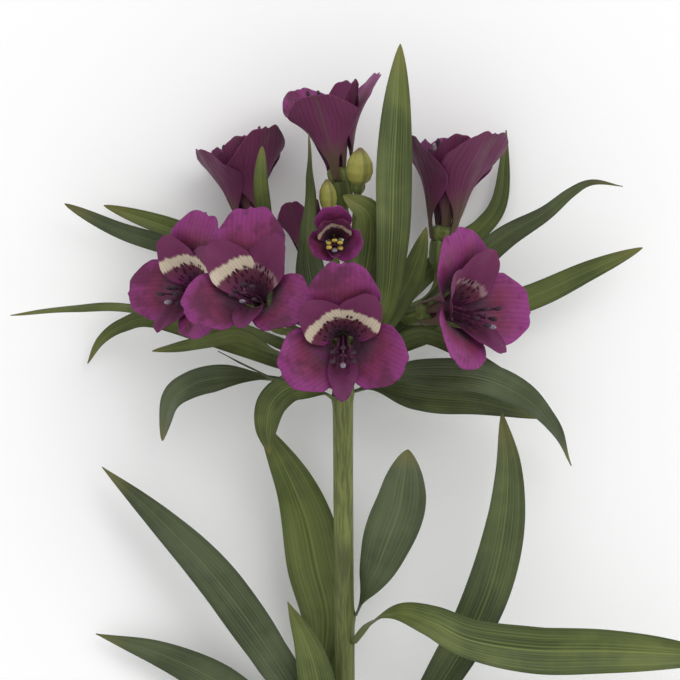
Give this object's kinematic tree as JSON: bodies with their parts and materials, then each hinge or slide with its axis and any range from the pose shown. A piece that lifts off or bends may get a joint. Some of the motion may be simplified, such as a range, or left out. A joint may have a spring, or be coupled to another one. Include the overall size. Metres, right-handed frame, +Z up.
{
  "type": "alstroemeria stem",
  "caption": "Cut purple alstroemeria stem with narrow leaves and a head of striped, cream-banded blooms, lying on its side.",
  "frame": {"origin": "on the table, under the middle of the lying stem's bounding box", "axes": "+Y along the stem from its cut end to its flowers, +Z up from the table, +X to the right seen from above with the flowers away from the viewer"},
  "size_m": [0.2609, 0.4993, 0.0969],
  "materials": {
    "stem": "satin",
    "leaf": "satin",
    "tepal": "satin",
    "stamen": "matte",
    "bud": "satin"
  },
  "bodies": {
    "root": {"stem": "stem", "bract_upper_left": "leaf", "leaf_stem_centre_low": "leaf", "leaf_stem_foot_left_high": "leaf", "leaf_stem_foot_left_low": "leaf", "leaf_stem_foot_right_high": "leaf", "leaf_stem_foot_right_low": "leaf", "leaf_stem_foot_top": "leaf", "leaf_stem_left_bottom": "leaf", "leaf_stem_left_long": "leaf", "leaf_stem_left_low": "leaf", "leaf_stem_right_flat": "leaf", "leaf_stem_right_oval": "leaf", "leaf_stem_right_tall": "leaf", "leaf_whorl_left_arched": "leaf", "leaf_whorl_left_edge": "leaf", "leaf_whorl_left_hooked": "leaf", "leaf_whorl_left_low": "leaf", "leaf_whorl_left_small": "leaf", "leaf_whorl_left_thin": "leaf", "leaf_whorl_left_top": "leaf", "leaf_whorl_left_upper": "leaf", "leaf_whorl_right_arched": "leaf", "leaf_whorl_right_behind": "leaf", "leaf_whorl_right_broad": "leaf", "leaf_whorl_right_curved": "leaf", "leaf_whorl_right_small": "leaf", "leaf_whorl_right_straight": "leaf", "leaf_whorl_top_centre": "leaf", "leaf_whorl_top_dark": "leaf", "leaf_whorl_top_inner_right": "leaf", "leaf_whorl_top_tall": "leaf", "bloom_front_tepals": "tepal", "bloom_front_stamens": "stamen", "bloom_left_tepals": "tepal", "bloom_left_stamens": "stamen", "bloom_centre_left_tepals": "tepal", "bloom_centre_left_stamens": "stamen", "bloom_upper_left_tepals": "tepal", "bloom_upper_left_stamens": "stamen", "bloom_top_tepals": "tepal", "bloom_top_stamens": "stamen", "bloom_upper_right_tepals": "tepal", "bloom_upper_right_stamens": "stamen", "bloom_right_tepals": "tepal", "bloom_right_stamens": "stamen", "bloom_half_open_tepals": "tepal", "bloom_half_open_stamens": "stamen", "bloom_behind_tepals": "tepal", "bloom_behind_stamens": "stamen", "bud_upper": "bud", "bud_lower": "bud"}
  },
  "joints": []
}
